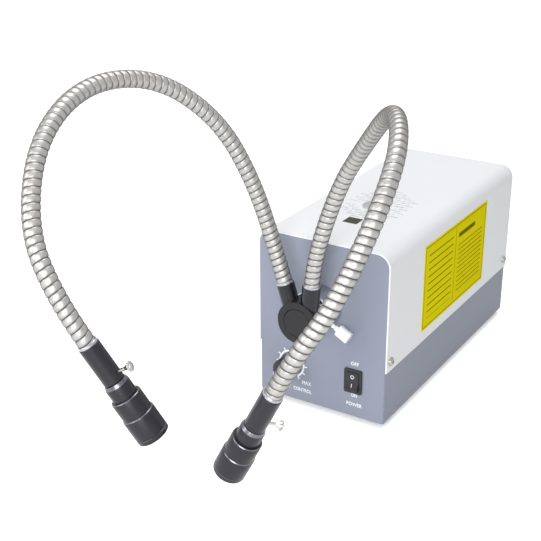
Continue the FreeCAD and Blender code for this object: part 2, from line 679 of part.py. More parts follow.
def corner_radii(points):
    """Bend radius at each inner corner of a route, from its runs and its turn."""
    radii = []
    for before, here, after in zip(points, points[1:], points[2:]):
        run = min(before.distanceToPoint(here), here.distanceToPoint(after))
        turn = (here - before).getAngle(after - here)
        radii.append(0.45 * run / math.tan(turn / 2))
    return radii


def neck_rod(start, corners, end, radius):
    """A round rod: straight runs joined by tangent bends at (point, radius) corners."""
    pieces = []
    length = 0
    here = start
    stops = [point for point, bend in corners[1:]] + [end]
    for (corner, bend), after in zip(corners, stops):
        into = (corner - here).normalize()
        out = (after - corner).normalize()
        turn = into.getAngle(out)
        reach = bend * math.tan(turn / 2)
        first = corner - into * reach
        centre = corner + (out - into).normalize() * math.hypot(bend, reach)
        run = (first - here).Length
        if run > 0.01:
            pieces.append(Part.makeCylinder(radius, run, here, into))
        disc = Part.Face(Part.Wire([Part.Circle(first, into, radius).toShape()]))
        pieces.append(disc.revolve(centre, into.cross(out), math.degrees(turn)))
        here = corner + out * reach
        length += run + bend * turn
    pieces.append(Part.makeCylinder(radius, (end - here).Length, here, end - here))
    length += (end - here).Length
    rod = pieces[0].fuse(pieces[1:]) if pieces[1:] else pieces[0]
    ideal = math.pi * radius ** 2 * length
    if abs(rod.Volume / ideal - 1) > 0.002:
        raise ValueError(f"neck volume {rod.Volume:.0f} is not {ideal:.0f}")
    return rod


def neck_knuckles(route):
    """Centre and direction of each knuckle of a neck."""
    knuckles = []
    for run in KNUCKLE_RUNS:
        before, after = Vector(*route[run - 1]), Vector(*route[run])
        knuckles.append(((before + after) / 2, (after - before).normalize()))
    return knuckles


def make_neck(side, route):
    """Four links: each ends in a ball that sits in the bored end of the next."""
    points = [Vector(*point) for point in route]
    radii = corner_radii(points)
    print(side, "neck bend radii:", " ".join(f"{radius:.0f}" for radius in radii))
    knuckles = neck_knuckles(route)
    radius = s.neck_diameter.value / 2
    gap = s.knuckle_gap.value
    ball = s.ball_diameter.value / 2
    bore = ball + s.running_gap.value
    first_way = (points[1] - points[0]).normalize()
    last_way = (points[-1] - points[-2]).normalize()
    starts = [(points[0] - first_way * s.neck_entry.value, first_way)] + knuckles
    ends = knuckles + [(points[-1] + last_way * s.neck_entry.value, last_way)]
    runs = (0,) + KNUCKLE_RUNS + (len(points),)
    for number in range(4):
        start, start_way = starts[number]
        end, end_way = ends[number]
        stop = end - end_way * gap if number < 3 else end
        low = max(runs[number], 1)
        high = min(runs[number + 1], len(points) - 1)
        corners = [(points[k], radii[k - 1]) for k in range(low, high)]
        link = neck_rod(start, corners, end, radius - 0.02)
        if number < 3:
            link = link.cut(Part.makeCylinder(radius + 1, gap + 1, stop, end_way))
            link = link.fuse(Part.makeCylinder(4, gap, stop, end_way))
            link = link.fuse(Part.makeSphere(ball, end, end_way, -90, 90, 360))
        if number > 0:
            link = link.cut(Part.makeCylinder(bore, ball + 0.4, start, start_way))
        piece = doc.addObject("Part::Feature", f"{side}_neck_{number + 1}")
        piece.Shape = link.removeSplitter()
        node(piece)


# ---- focusing heads -------------------------------------------------------------------

def make_head(side, route, screw_way):
    end, before = Vector(*route[-1]), Vector(*route[-2])
    way = (end - before).normalize()
    away = Vector(*screw_way)
    away = (away - way * away.dot(way)).normalize()
    turn = facing(way, away)
    place = Placement(end, turn)
    rim = s.tip_sleeve_diameter / 2
    reach = s.tip_sleeve_length
    neck = s.neck_diameter / 2
    tube = 5.5
    sleeve = turned(f"{side}_sleeve_tube", [
        (neck, 0), (rim - 0.4, 0), (rim, 0.4), (rim, reach - 0.4), (rim - 0.4, reach), (tube, reach),
        (tube, 10), (4.6, 10), (4.6, s.neck_entry), (neck, s.neck_entry)])
    tapped = cylinder(f"{side}_screw_way", 1.25 + s.running_gap, 12, (0, 0, reach - 5), X)
    ferrule = cut(f"{side}_tip_ferrule", sleeve, tapped)
    ferrule.Placement = place
    node(ferrule)
    screw = turned(f"{side}_lens_thumbscrew", [
        (0, 5.6), (1.25, 5.6), (1.25, 12), (1.9, 13.2), (2.4, 15), (3.5, 16.1), (3.75, 16.1), (3.75, 17.4),
        (0, 17.4)])
    screw.Placement = place * Placement(Vector(0, 0, (reach - 5).value), facing(X))
    node(screw)
    make_lens_pieces(side, place, reach, tube)


def make_lens_pieces(side, place, reach, tube):
    """Focusing head: a stepped barrel whose tube slides in the sleeve, a hood and a lens."""
    step = reach + 0.3
    first, second = s.focus_collar_diameter / 2, s.barrel_diameter / 2
    shoulder = step + s.focus_collar_length
    front = shoulder + s.barrel_length
    mouth = front + s.hood_length
    slider = turned(f"{side}_focus_tube", [
        (4.4, 12), (tube - s.running_gap, 12), (tube - s.running_gap, step + 6), (4.4, step + 6)])
    barrel = turned(f"{side}_lens_barrel", [
        (tube, step), (first - 1.3, step), (first, step + 2.5), (first, shoulder), (second - 0.6, shoulder),
        (second, shoulder + 0.6), (second, front), (9, front), (9, front - 8), (6, shoulder), (4.4, step + 6),
        (tube, step + 6)])
    hood_rim = s.hood_diameter / 2
    glass = s.lens_diameter / 2
    hood = turned(f"{side}_lens_hood", [
        (7.5, front), (hood_rim - 0.6, front), (hood_rim, front + 0.6), (hood_rim, mouth - 1.2),
        (hood_rim - 0.4, mouth - 0.4), (hood_rim - 1.2, mouth), (glass + 0.4, mouth), (glass, mouth - 1),
        (glass, front + 9), (7.5, front + 9)])
    lens = turned(f"{side}_lens", [
        (0, front + 9), (glass - 0.1, front + 9), (glass - 0.1, front + 11), (7, front + 13.2), (3.5, front + 14.3),
        (0, front + 14.6)])
    for piece in (slider, barrel, hood, lens):
        piece.Placement = place
        node(piece)


make_tray()
make_rear_panel()
make_cover()
make_case_fasteners()
make_labels()
make_socket()
make_dimmer()
make_switch()
make_lamp()
make_transformer()
make_electronics()
make_fan()
make_inlet()
make_junction()
make_neck("left", LEFT_ROUTE)
make_neck("right", RIGHT_ROUTE)
make_head("left", LEFT_ROUTE, LEFT_SCREW)
make_head("right", RIGHT_ROUTE, RIGHT_SCREW)

doc.recompute()
for thing in doc.Objects:
    if "Invalid" in thing.State or "Error" in thing.State:
        raise RuntimeError(f"{thing.Name} failed: {thing.State}")
for thing in nodes:
    if thing.Shape.isNull() or not thing.Shape.isValid() or not thing.Shape.Solids:
        raise RuntimeError(f"{thing.Label} has no valid solid")

os.makedirs("parts", exist_ok=True)
for thing in nodes:
    thing.Shape.exportStep(f"parts/{thing.Label}.step")
    print(f"{thing.Label:24s} {len(thing.Shape.Solids)} solids {thing.Shape.Volume / 1000:9.2f} cm3")
print(len(nodes), "nodes")
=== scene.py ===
# %% [markdown]
# # A twin gooseneck fiber optic illuminator
# A box holds a halogen lamp, a fan and a dimmer.  A light guide plugs into the socket on
# its front panel and parts into two arms: metal hoses that hold any curve they are bent
# to, each with a small focusing head.  The solids come from the CAD model and stay as they
# are.  This file gives them their finishes and lays finer pieces over what the eye looks
# at: the hoses' bands, the heads, the knob, the rocker, the screws and the lettering.

# %% Load the solids
import json
import math

import bmesh
import bpy
from mathutils import Matrix, Vector


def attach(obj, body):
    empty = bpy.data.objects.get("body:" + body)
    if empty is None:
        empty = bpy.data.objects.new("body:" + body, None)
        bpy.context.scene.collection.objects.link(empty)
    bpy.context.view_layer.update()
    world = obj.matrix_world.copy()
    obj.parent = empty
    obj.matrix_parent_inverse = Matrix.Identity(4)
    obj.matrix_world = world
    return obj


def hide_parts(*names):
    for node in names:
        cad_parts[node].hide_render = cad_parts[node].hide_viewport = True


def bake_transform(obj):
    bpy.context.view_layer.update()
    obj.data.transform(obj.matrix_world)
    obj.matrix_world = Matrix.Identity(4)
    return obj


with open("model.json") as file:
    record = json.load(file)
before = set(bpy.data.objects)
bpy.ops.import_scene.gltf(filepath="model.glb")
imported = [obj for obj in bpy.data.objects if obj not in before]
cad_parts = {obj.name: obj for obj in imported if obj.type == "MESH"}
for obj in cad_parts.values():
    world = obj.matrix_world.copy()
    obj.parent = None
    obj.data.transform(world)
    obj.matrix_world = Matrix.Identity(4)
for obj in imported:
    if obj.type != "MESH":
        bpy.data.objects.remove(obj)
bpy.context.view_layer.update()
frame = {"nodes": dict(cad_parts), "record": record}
nodes = frame["nodes"]


# %% [markdown]
# ## The camera
# A product is usually shown with a long lens from a little above.  A Track To constraint
# could aim the camera, but it would hide the roll.  A camera looks along its own -Z axis,
# so its three axes are worked out from the viewing angles and set as a matrix.  The field
# of view follows from half the picture's width and the focal length, both in pixels.

# %% Camera
def look(azimuth, elevation, roll, place, field):
    a, e, r = (math.radians(angle) for angle in (azimuth, elevation, roll))
    back = Vector((math.sin(a) * math.cos(e), -math.cos(a) * math.cos(e), math.sin(e)))
    level = Vector((0, 0, 1)).cross(back).normalized()
    upright = back.cross(level)
    right = level * math.cos(r) + upright * math.sin(r)
    up = upright * math.cos(r) - level * math.sin(r)
    camera = bpy.data.objects.new("camera", bpy.data.cameras.new("camera"))
    bpy.context.scene.collection.objects.link(camera)
    turn = Matrix((right, up, back)).transposed().to_4x4()
    camera.matrix_world = Matrix.Translation(place) @ turn
    camera.data.sensor_fit = "HORIZONTAL"
    camera.data.angle = field
    camera.data.clip_start = 0.01
    bpy.context.scene.camera = camera
    return camera


HALF_WIDTH, FOCAL_LENGTH = 270.5, 1097.4
camera = look(azimuth=31.976, elevation=23.283, roll=-0.24, place=(0.39066, -0.83478, 0.47505),
              field=2 * math.atan(HALF_WIDTH / FOCAL_LENGTH))
print("field of view", round(math.degrees(camera.data.angle), 2), "degrees")


# %% [markdown]
# ## Floor, sky and lamps
# A pale table that runs out of view gives the white ground of a catalogue picture.  A
# shadow catcher could stand in for it, but then the white has to be laid in afterwards.  A
# real surface keeps the object's shadow by itself, and it is made near the end, when there
# is something to stand on it.  Large soft lamps make the long highlights that show the
# roundness of metal hoses.

# %% Studio
scene = bpy.context.scene
scene.view_settings.view_transform = "Standard"
LAMP_SIDE = 0.9


def soft_lamp(name, place, aim, power):
    lamp = bpy.data.objects.new(name, bpy.data.lights.new(name, "AREA"))
    lamp.data.shape = "RECTANGLE"
    lamp.data.size = lamp.data.size_y = LAMP_SIDE
    lamp.data.energy = power
    lamp.location = place
    lamp.rotation_euler = (Vector(aim) - Vector(place)).to_track_quat("-Z", "Y").to_euler()
    scene.collection.objects.link(lamp)
    print(name, power, "W")


soft_lamp("key_lamp", place=(0.6, -1.6, 0.66), aim=(0, -0.15, 0.15), power=22)
soft_lamp("top_lamp", place=(-0.1, 0.1, 1.6), aim=(0, -0.05, 0.1), power=13)
soft_lamp("fill_lamp", place=(-0.9, -1.4, 0.8), aim=(0, -0.1, 0.15), power=10)


# %% [markdown]
# ## Writing shader sums
# A pattern is arithmetic on coordinates.  Wiring Math nodes by hand hides that, so a small
# class wraps a socket and lets Python's own signs add the nodes.  The reflected forms let
# a plain number stand first, as in 1 - mask.

# %% Shader sums
class Wire:
    def __init__(self, tree, socket):
        self.tree, self.socket = tree, socket

    def node(self, kind, settings=None, values=None, out=0):
        made = self.tree.nodes.new(kind)
        for name, value in (settings or {}).items():
            if name == "stops":
                ramp = made.color_ramp
                while len(ramp.elements) < len(value):
                    ramp.elements.new(1)
                for stop, (where, colour) in zip(ramp.elements, value):
                    stop.position, stop.color = where, (*colour, 1)
            else:
                setattr(made, name, value)
        for name, value in (values or {}).items():
            if isinstance(value, Wire):
                self.tree.links.new(value.socket, made.inputs[name])
            else:
                made.inputs[name].default_value = value
        return Wire(self.tree, made.outputs[out])

    def maths(self, operation, *others):
        values = dict(enumerate((self, *others)))
        return self.node("ShaderNodeMath", {"operation": operation}, values)

    def __add__(self, other):
        return self.maths("ADD", other)

    def __sub__(self, other):
        return self.maths("SUBTRACT", other)

    def __mul__(self, other):
        return self.maths("MULTIPLY", other)

    def __lt__(self, other):
        return self.maths("LESS_THAN", other)

    def __gt__(self, other):
        return self.maths("GREATER_THAN", other)

    def __mod__(self, other):
        return self.maths("FLOORED_MODULO", other)

    def __rsub__(self, other):
        return self.node("ShaderNodeMath", {"operation": "SUBTRACT"}, {0: other, 1: self})

    __radd__ = __add__
    __rmul__ = __mul__


print("wires add, subtract, multiply, compare and take remainders")


# %% [markdown]
# ## Finishes
# Nearly every finish here is a plain colour with its own shine: enamel, anodising, nickel
# and moulded plastic.  One function makes them all.  Shine sets how much a surface mirrors
# at all, and roughness sets how sharp that mirror is.  Grain makes the gloss of paint and
# zinc faintly uneven, because a large and perfectly even surface looks like a drawing.

# %% Finish maker
def finish(name, colour, rough, metal=0.0, shine=0.5, grain=0.0, grain_size=400.0):
    material = bpy.data.materials.new(name)
    material.use_nodes = True
    tree = material.node_tree
    shader = tree.nodes["Principled BSDF"]
    shader.inputs["Base Color"].default_value = (*colour, 1)
    shader.inputs["Roughness"].default_value = rough
    shader.inputs["Metallic"].default_value = metal
    shader.inputs["Specular IOR Level"].default_value = shine
    if grain:
        start = Wire(tree, tree.nodes.new("ShaderNodeTexCoord").outputs["Object"])
        cloud = start.node("ShaderNodeTexNoise", values={
            "Vector": start, "Scale": grain_size, "Detail": 2.0})
        uneven = cloud * (2 * grain) + (rough - grain)
        tree.links.new(uneven.socket, shader.inputs["Roughness"])
    material.diffuse_color = (*colour, 1)
    return material


# %% [markdown]
# The hose's steel is satin on the crown of each band and duller down in the groove, and its
# colour darkens with the groove's depth: painted shade, for the groove where light hardly
# reaches.  Waves in the material could draw such bands, but they would drift away from the
# real grooves.  So the material reads the depth that is stored on the mesh, and the painted
# dark line follows the groove wherever the hose bends.  A dark specular tint makes the metal
# mirror less where it turns away from the eye: painted shade on the hose's edges, for the
# darker room that steel mirrors there.

# %% Hose steel
CROWN_ROUGH, MORE_IN_GROOVE = 0.42, 0.14


def hose_steel():
    material = finish("hose_steel", (0.37, 0.365, 0.355), CROWN_ROUGH, metal=1)
    tree = material.node_tree
    shader = tree.nodes["Principled BSDF"]
    # dark specular tint: painted shade on the edges, for a darker room mirrored there
    shader.inputs["Specular Tint"].default_value = (0.05, 0.05, 0.05, 1)
    depth = Wire(tree, tree.nodes.new("ShaderNodeAttribute").outputs["Fac"])
    depth.socket.node.attribute_name = "groove"
    # the colour darkens with groove depth: painted shade in the groove
    painted_groove_shade = depth.node("ShaderNodeValToRGB", {"stops": [
        (0.0, (0.42, 0.415, 0.405)), (0.2, (0.35, 0.345, 0.335)),
        (0.6, (0.22, 0.215, 0.205)), (1.0, (0.11, 0.105, 0.1))]}, {"Fac": depth})
    tree.links.new(painted_groove_shade.socket, shader.inputs["Base Color"])
    dull = depth * MORE_IN_GROOVE + CROWN_ROUGH
    tree.links.new(dull.socket, shader.inputs["Roughness"])
    print(material.name, len(tree.nodes), "nodes")
    return material


# %% [markdown]
# The large label on the cover is a yellow film with ruled lines in dark ink.  A picture
# could be pasted on, but lines drawn by sums stay sharp at any distance.  The sums use the
# solid's own coordinates in millimetres: a remainder repeats the lines, and comparisons
# cut them to two columns and draw a frame and a rule between the columns.

# %% Ruled label
YELLOW, INK = (0.88, 0.77, 0.01), (0.2, 0.18, 0.01)


def between(value, low, high):
    return (value > low) * (value < high)


def ruled_label():
    material = finish("yellow_film", YELLOW, 0.5, shine=0)
    tree = material.node_tree
    start = Wire(tree, tree.nodes.new("ShaderNodeTexCoord").outputs["Object"])
    across = start.node("ShaderNodeSeparateXYZ", values={"Vector": start}, out=1) * 1000
    up = start.node("ShaderNodeSeparateXYZ", values={"Vector": start}, out=2) * 1000
    wide_rules = (up % 6.4 < 1.0) * between(across, -58, -8) * between(up, 71, 132)
    fine_rules = (up % 4.3 < 0.8) * between(across, 4, 58) * between(up, 71, 118)
    heading = between(across, 4, 40) * between(up, 124, 128)
    middle = between(across, -2.4, -1.8) * between(up, 66, 135.5)
    inner = between(across, -64.2, 64.2) * between(up, 64.6, 136.8)
    frame_line = between(across, -64.9, 64.9) * between(up, 63.9, 137.5) * (1 - inner)
    inked = wide_rules
    for mask in (fine_rules, heading, middle, frame_line):
        inked = inked.maths("MAXIMUM", mask)
    colour = inked.node("ShaderNodeMix", {"data_type": "RGBA"}, {
        "Factor": inked, 6: (*YELLOW, 1), 7: (*INK, 1)}, out=2)
    tree.links.new(colour.socket, tree.nodes["Principled BSDF"].inputs["Base Color"])
    print(material.name, len(tree.nodes), "nodes")
    return material


# %% [markdown]
# The other finishes are even all over, so one line each is enough.  They stand in one
# table under the names of the record's material slots.

# %% Plain finishes
FINISHES = {
    "tray_paint": finish("tray_enamel", (0.272, 0.296, 0.37), 0.45, shine=0.2, grain=0.04),
    "cover_paint": finish("cover_enamel", (0.84, 0.855, 0.88), 0.35, shine=0.3, grain=0.03),
    "bright_steel": finish("bright_steel", (0.55, 0.55, 0.56), 0.22, metal=1),
    "nickel": finish("nickel_plate", (0.5, 0.49, 0.47), 0.3, metal=1),
    "galvanised": finish("zinc_plate", (0.6, 0.6, 0.6), 0.4, metal=1, grain=0.08, grain_size=150),
    "black_anodised": finish("black_anodising", (0.023, 0.022, 0.028), 0.34, metal=0.4, shine=0.4),
    "dull_nickel": finish("screw_plating", (0.34, 0.34, 0.3), 0.3, metal=1),
    "ring_steel": finish("ring_steel", (0.4, 0.4, 0.44), 0.3, metal=1),
    # near white and only partly metal: polished metal, with a painted highlight over the whole
    # screw
    "chrome": finish("socket_chrome_with_painted_glare", (0.93, 0.93, 0.94), 0.35, metal=0.3),
    "polished_black": finish("sleeve_anodising", (0.013, 0.013, 0.02), 0.14, shine=0.35),
    # mid-grey metal: the set screws' own colour, and a painted glint on the heads' chamfer rings
    "screw_grey_and_glint": finish("painted_glint_and_screw_grey", (0.15, 0.15, 0.17), 0.3, metal=1),
    "black_gloss": finish("black_lacquer", (0.014, 0.014, 0.017), 0.2, shine=0.3),
    "black_plastic": finish("black_moulding", (0.022, 0.022, 0.027), 0.4, shine=0.35),
    "gray_plastic": finish("gray_moulding", (0.42, 0.42, 0.43), 0.45),
    "rubber_black": finish("foot_rubber", (0.03, 0.03, 0.03), 0.8),
    "yellow_sticker": ruled_label(),
    "dark_sticker": finish("dark_film", (0.035, 0.035, 0.02), 0.5, shine=0.15),
    "reflector_mirror": finish("cold_mirror", (0.8, 0.78, 0.84), 0.06, metal=1),
    "ceramic_white": finish("steatite", (0.8, 0.78, 0.72), 0.6),
    "core_iron": finish("core_lacquer", (0.12, 0.12, 0.13), 0.45, metal=0.6),
    "winding_tape": finish("winding_tape", (0.75, 0.55, 0.1), 0.4),
    "board_green": finish("solder_mask", (0.02, 0.2, 0.07), 0.35),
    "bare_aluminium": finish("bare_aluminium", (0.75, 0.75, 0.76), 0.35, metal=1),
    "brass_bare": finish("turned_brass", (0.75, 0.58, 0.28), 0.3, metal=1),
}
FINISHES["hose_steel"] = hose_steel()
glass = finish("clear_glass", (0.95, 0.97, 0.97), 0.03)
glass.node_tree.nodes["Principled BSDF"].inputs["Transmission Weight"].default_value = 0.9
FINISHES["clear_glass"] = glass
print(len(FINISHES), "finishes")


# %% [markdown]
# Every solid has a material slot in the record, and that names its finish.  A few are
# finer than their slot says: the socket's screw is polished, and its near-white, half-diffuse
# finish also paints the glare of a highlight over all of it; the two sleeves on the drum are
# polished too.

# %% Give every solid its finish
FINER = {"socket_thumbscrew": "chrome", "left_base_ferrule": "polished_black",
         "right_base_ferrule": "polished_black"}
slot_of = {row["node"]: row["material_slot"] for row in frame["record"]["subparts"]}
for name, solid in nodes.items():
    solid.data.materials.clear()
    solid.data.materials.append(FINISHES[FINER.get(name, slot_of[name])])
print("dressed", len(nodes), "solids")


# %% [markdown]
# ## Drawing a line and turning it
# Most parts of a light guide are made on a lathe, and a lathe part is one line swept round
# an axis.  A curve could be that line, but a line of mesh keeps exactly the points that
# are given.  It is drawn the way a person draws it in edit mode: a single vertex, extruded
# from point to point.  Each point is a radius and a height.

# %% A drawn line
def drawn_line(name, points):
    first = points[0]
    bpy.ops.mesh.primitive_plane_add(size=0.001, location=(first[0], 0, first[1]))
    line = bpy.context.object
    line.name = name
    bpy.ops.object.transform_apply(location=True, rotation=False, scale=False)
    bpy.ops.object.mode_set(mode="EDIT")
    bpy.ops.mesh.select_mode(type="VERT")
    bpy.ops.mesh.select_all(action="SELECT")
    bpy.ops.mesh.merge(type="CENTER")
    for here, there in zip(points, points[1:]):
        step = (there[0] - here[0], 0, there[1] - here[1])
        bpy.ops.mesh.extrude_region_move(TRANSFORM_OT_translate={"value": step})
    bpy.ops.object.mode_set(mode="OBJECT")
    print(name, "line of", len(points), "points")
    return line


# %% [markdown]
# A Screw modifier could sweep the line round Z, but spin does it at once, in edit mode,
# where the clearing up is done as well.  Its first and last copies fall on each other, and
# points on the axis pile up, so doubles are merged before the normals are made to point
# outwards.  Shading is smooth except at real edges, which keeps chamfers crisp.  Tools act
# on what is selected, so two helpers choose a piece and all of its mesh, and a third
# leaves edit mode with the normals set right.

# %% A turned piece
def only(piece):
    bpy.ops.object.select_all(action="DESELECT")
    piece.select_set(True)
    bpy.context.view_layer.objects.active = piece


def edit_all():
    bpy.ops.object.mode_set(mode="EDIT")
    bpy.ops.mesh.select_all(action="SELECT")


def leave_with_normals_out():
    bpy.ops.mesh.select_all(action="SELECT")
    bpy.ops.mesh.normals_make_consistent(inside=False)
    bpy.ops.object.mode_set(mode="OBJECT")


def merged(piece, threshold=0.000005):
    only(piece)
    edit_all()
    bpy.ops.mesh.remove_doubles(threshold=threshold)
    leave_with_normals_out()


def smooth(piece, angle=30):
    only(piece)
    bpy.ops.object.shade_smooth_by_angle(angle=math.radians(angle))


def turned(name, points, steps=48):
    piece = drawn_line(name, [(radius / 1000, height / 1000) for radius, height in points])
    edit_all()
    bpy.ops.mesh.spin(steps=steps, angle=math.tau, center=(0, 0, 0), axis=(0, 0, 1))
    bpy.ops.object.mode_set(mode="OBJECT")
    merged(piece)
    smooth(piece)
    print(name, len(piece.data.polygons), "faces")
    return piece


# %% [markdown]
# A finished piece keeps its object at the origin and its place in its mesh, as the solids
# do.  So a piece is made upright at the origin, given its place as a matrix, and the
# matrix is applied.  Angles could turn it, but they are hard to guess in a bent arm, so a
# turn is built from two directions: where the piece's Z points, and where its X should
# lean.  Then it gets its finish, named by its own look or else by its slot, and the body
# that carries it, and it stands in for a solid where it is a finer copy of one.

# %% Setting a piece in place
def facing(direction, across=(0, 0, 1)):
    along = Vector(direction).normalized()
    side = Vector(across)
    side = (side - along * side.dot(along)).normalized()
    return Matrix((side, along.cross(side), along)).transposed().to_4x4()


def set_in_place(piece, place, turn=Matrix()):
    piece.matrix_world = Matrix.Translation(Vector(place) / 1000) @ turn
    only(piece)
    bpy.ops.object.transform_apply(location=True, rotation=True, scale=True)


def fitted(piece, body, slot, *replaced, look=None):
    piece.data.materials.clear()
    piece.data.materials.append(FINISHES[look or slot])
    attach(piece, body)
    if replaced:
        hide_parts(*replaced)


# %% [markdown]
# ## The metal hoses
# A gooseneck is one steel strip with hooked edges, wound so that every turn clips into the
# one before.  Outside it shows rounded bands with a thin dark groove between them, along a
# screw line.  A row of equal rings would be quicker, but their grooves don't climb.  So one
# turn's profile is drawn, and a Screw modifier winds it up the hose.  Each point of BAND is
# a part of the pitch and a height over the crown in millimetres.
# While the hose is still straight, each point's depth is easy to read from its radius, so
# it is stored as an attribute that the steel's material uses later.

# %% One turn, wound up
PITCH, HOSE_RADIUS, GROOVE = 5.3, 6.25, 0.75
BAND = [(0, -GROOVE), (0.04, -0.46), (0.1, -0.23), (0.2, -0.08), (0.34, -0.015), (0.5, 0),
        (0.68, -0.035), (0.82, -0.13), (0.92, -0.35), (1, -GROOVE)]


def apply_modifier(piece, name):
    only(piece)
    bpy.ops.object.modifier_apply(modifier=name)


def wound_hose(name, turns):
    hose = drawn_line(name, [((HOSE_RADIUS + rise) / 1000, part * PITCH / 1000)
                             for part, rise in BAND])
    winding = hose.modifiers.new("winding", "SCREW")
    winding.axis = "Z"
    winding.screw_offset = PITCH / 1000
    winding.iterations = turns
    winding.steps = winding.render_steps = 32
    apply_modifier(hose, "winding")
    merged(hose, 0.00001)
    depth = hose.data.attributes.new("groove", "FLOAT", "POINT")
    for point, vertex in zip(depth.data, hose.data.vertices):
        point.value = (HOSE_RADIUS - vertex.co.xy.length * 1000) / GROOVE
    print(name, len(hose.data.polygons), "faces in", turns, "turns")
    return hose


# %% [markdown]
# A hose holds a smooth curve, and a Curve modifier lays the straight hose along its route.
# A Bezier curve could be the route, with handles to even out by hand.  A NURBS path needs
# only a few guide points and runs smoothly past them.  The points are in millimetres, from
# the sleeve on the drum to the sleeve on the head: a start, two points on either side of
# each ball joint, one more point between two joints, and an end.

# %% Routes
ROUTES = {
    "left": [(-15.2, -163, 126.4), (-24, -163, 153.6), (-37, -172.5, 208.5), (-55, -191, 259),
             (-80.5, -229.5, 295.5), (-97, -285.5, 301.5), (-94.5, -338.5, 277),
             (-76.5, -373, 228.5), (-48.4, -380.7, 187.9), (-33.8, -372.1, 158.9)],
    "right": [(8.6, -163, 129.1), (10.8, -163, 154.4), (27, -157.5, 211), (49.5, -165, 246),
              (89, -197.5, 291.5), (115, -241, 280.5), (118.5, -275, 246.5),
              (105.5, -307.5, 191.5), (87.8, -322.1, 161.1), (71.7, -322.1, 129.6)],
}
print(len(ROUTES), "routes with", [len(corners) for corners in ROUTES.values()], "guide points")


def smooth_path(name, corners):
    curve = bpy.data.curves.new(name, "CURVE")
    curve.dimensions = "3D"
    curve.resolution_u = 24
    spline = curve.splines.new("NURBS")
    spline.points.add(len(corners) - 1)
    for point, corner in zip(spline.points, corners):
        point.co = (*(Vector(corner) / 1000), 1)
    spline.order_u = 3
    spline.use_endpoint_u = True
    path = bpy.data.objects.new(name, curve)
    scene.collection.objects.link(path)
    return path


# %% [markdown]
# The model bends each neck at three ball joints, where the real hose bends everywhere.  The
# hose is therefore cut into three stretches, each round one joint.  Cutting while the hose
# is straight gives flat ends that meet.  To cut in the right places, the path's length has
# to be known up to a given guide point.

# %% Measuring along a path
def length_to(path, corner=None):
    mesh = bpy.data.meshes.new_from_object(path)
    points = [vertex.co.copy() for vertex in mesh.vertices]
    bpy.data.meshes.remove(mesh)
    goal = Vector(corner) / 1000 if corner else points[-1]
    nearest = min(range(len(points)), key=lambda k: (points[k] - goal).length)
    return sum((b - a).length for a, b in zip(points[:nearest], points[1:nearest + 1]))


def stretch(hose, name, low, high):
    piece = hose.copy()
    piece.data = hose.data.copy()
    piece.name = piece.data.name = name
    scene.collection.objects.link(piece)
    only(piece)
    bpy.ops.object.mode_set(mode="EDIT")
    for height, above in ((low, True), (high, False)):
        bpy.ops.mesh.select_all(action="SELECT")
        bpy.ops.mesh.bisect(plane_co=(0, 0, height), plane_no=(0, 0, 1), use_fill=True,
                            clear_inner=above, clear_outer=not above)
    leave_with_normals_out()
    return piece


def lay_along(piece, path):
    route = piece.modifiers.new("route", "CURVE")
    route.object = path
    route.deform_axis = "POS_Z"
    apply_modifier(piece, "route")
    smooth(piece, 55)


# %% [markdown]
# The cuts lie at the guide points between two joints.  Five millimetres at each end sit
# inside the sleeves.  The straight hose starts 15 mm before its route and ends as far
# behind it, so that all cuts go through whole turns.

# %% Both hoses
BODIES = ("junction", "arm_rise", "arm_fall", "arm_end")
CUT_AT = (3, 6)
IN_SLEEVE, SPARE, HALF_BEND = 0.005, 0.015, 0.025
for side, corners in ROUTES.items():
    path = smooth_path(side + "_path", corners)
    whole = length_to(path)
    cuts = [-IN_SLEEVE, *(length_to(path, corners[at]) for at in CUT_AT), whole + IN_SLEEVE]
    turns = int((whole + 2 * SPARE) * 1000 / PITCH) + 1
    hose = wound_hose(side + "_hose", turns)
    for vertex in hose.data.vertices:
        vertex.co.z -= SPARE
    for k, part in enumerate(("rise", "bend", "fall")):
        piece = stretch(hose, f"{side}_hose_{part}", cuts[k], cuts[k + 1])
        lay_along(piece, path)
        first, second = BODIES[k], BODIES[k + 1]
        if k:
            first = f"{side}_{first}"
        piece.data.materials.append(FINISHES["hose_steel"])
        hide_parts(f"{side}_neck_{k + 1}", f"{side}_neck_{k + 2}")
        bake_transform(piece)
    bpy.data.objects.remove(hose)
    bpy.data.objects.remove(path)
    print(side, "hose", round(whole * 1000), "mm,", turns, "turns")


# %% [markdown]
# A turned steel ring closes each end of a hose, where it enters its black sleeve.

# %% End rings
def end_ring(name, place, direction, body):
    ring = turned(name, [(5.6, -1), (6.9, -1), (6.9, 1.5), (6.6, 1.9), (5.6, 1.9), (5.6, -1)])
    set_in_place(ring, place, facing(direction, (1, 0.2, 0.1)))
    fitted(ring, body, "bright_steel", look="ring_steel")


for side, corners in ROUTES.items():
    first, second = Vector(corners[0]), Vector(corners[1])
    end_ring(side + "_root_ring", first, second - first, "junction")
    last, before = Vector(corners[-1]), Vector(corners[-2])
    end_ring(side + "_tip_ring", last, before - last, side + "_arm_end")
print("four end rings")


# %% [markdown]
# ## The focusing heads
# A head is turned from aluminium in three steps, each wider than the last, and then
# anodised black.  Every step begins with a chamfer, and the hood has a fine groove near its
# mouth.  These narrow rings catch the light, so the barrel and the hood are turned anew,
# and the rings get a brighter grey metal of their own: a painted glint.
# A head runs on along its hose's last guide points, behind a black sleeve 29.5 mm long.
# The way its thumbscrew points tells how far it is turned about that line.  Faces nearer
# the axis than OUTSIDE belong to the bore, and stay black.

# %% Where a head is
THUMBSCREW_WAY = {"left": (0.84, 0.24, 0.49), "right": (0.68, 0.64, -0.35)}
SLEEVE = 29.5
OUTSIDE = 7.5


def head_place(side):
    end, before = Vector(ROUTES[side][-1]), Vector(ROUTES[side][-2])
    return end, facing(end - before, THUMBSCREW_WAY[side])


